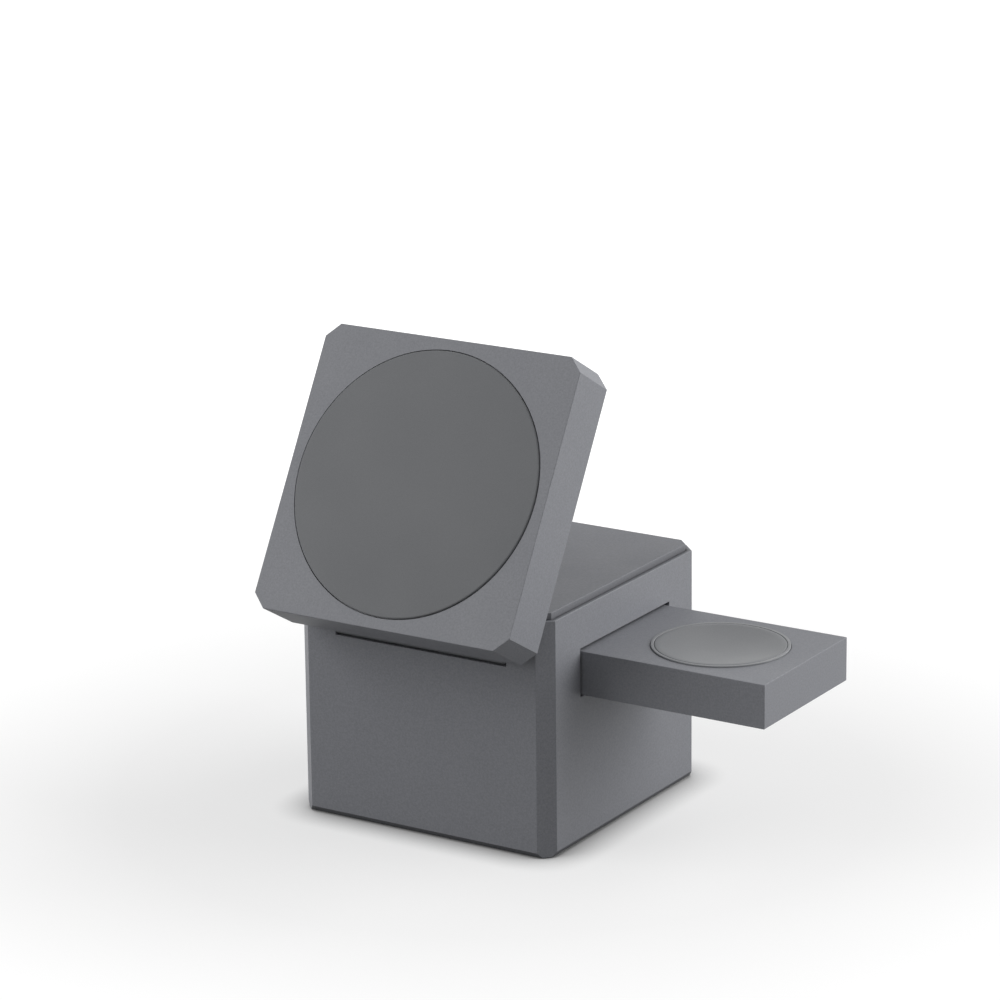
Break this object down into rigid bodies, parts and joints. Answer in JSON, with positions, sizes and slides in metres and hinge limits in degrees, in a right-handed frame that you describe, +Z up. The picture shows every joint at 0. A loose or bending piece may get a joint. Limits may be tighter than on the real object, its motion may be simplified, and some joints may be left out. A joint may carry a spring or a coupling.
{
  "type": "three in one wireless charger",
  "caption": "Cube-shaped desk charger: a lid with a round phone pad tilts up on a front hinge over an earbuds tray, and a watch drawer slides out of the side.",
  "frame": {"origin": "centre of the base's footprint, on the table", "axes": "+X to the side the drawer slides out of, +Y to the rear face with the power inlet, +Z up"},
  "size_m": [0.1013, 0.0755, 0.1001],
  "materials": {
    "shell_grey": "fine matt moulded grain",
    "tray_grey": "fine matt moulded grain",
    "inner_grey": "plain matt",
    "channel_black": "plain matt",
    "pad_grey": "soft matt silicone",
    "foot_rubber": "soft matt silicone",
    "puck_grey": "smooth satin",
    "puck_trim": "satin",
    "ballast_steel": "sawn and zinc plated",
    "hinge_cast": "die cast, painted matt grey",
    "pin_steel": "ground",
    "screw_steel": "dark zinc",
    "board_green": "solder mask",
    "chip_black": "moulded",
    "capacitor_metal": "drawn can",
    "inlet_steel": "plated",
    "coil_copper": "enamelled copper wire",
    "ferrite_grey": "sintered",
    "magnet_nickel": "nickel plated"
  },
  "bodies": {
    "base": {"base_shell": "shell_grey", "earbuds_tray": "tray_grey", "bottom_cover": "inner_grey", "drawer_channel": "channel_black", "coil_retainer": "channel_black", "foot_pad": "foot_rubber", "ballast_plate": "ballast_steel", "hinge_cradle": "hinge_cast", "hinge_pin": "pin_steel", "pin_clips": "pin_steel", "friction_washers": "pin_steel", "cover_screws": "screw_steel", "channel_screws": "screw_steel", "board_screws": "screw_steel", "retainer_screws": "screw_steel", "main_board": "board_green", "control_chips": "chip_black", "power_inductors": "chip_black", "inlet_tongue": "chip_black", "board_capacitors": "capacitor_metal", "inlet_shell": "inlet_steel", "earbuds_coil": "coil_copper", "earbuds_ferrite": "ferrite_grey"},
    "lid": {"lid_shell": "shell_grey", "lid_cover": "inner_grey", "hinge_arm": "hinge_cast", "phone_pad": "pad_grey", "magnet_ring": "magnet_nickel", "phone_coil": "coil_copper", "phone_ferrite": "ferrite_grey", "coil_carrier": "channel_black", "carrier_screws": "screw_steel", "arm_screws": "screw_steel"},
    "drawer": {"drawer_shell": "shell_grey", "drawer_cover": "inner_grey", "watch_puck": "puck_grey", "puck_ring": "puck_trim", "watch_coil": "coil_copper", "watch_ferrite": "ferrite_grey", "watch_magnet": "magnet_nickel", "drawer_board": "board_green", "drawer_screws": "screw_steel"}
  },
  "joints": [
    {"name": "lid_hinge", "type": "hinge", "parent": "base", "child": "lid", "pos_m": [0, -0.02595, 0.04153], "axis": [1, 0, 0], "range_deg": [-60, 0]},
    {"name": "drawer_slide", "type": "slide", "parent": "base", "child": "drawer", "axis": [1, 0, 0], "range_m": [-0.0413, 0]}
  ]
}
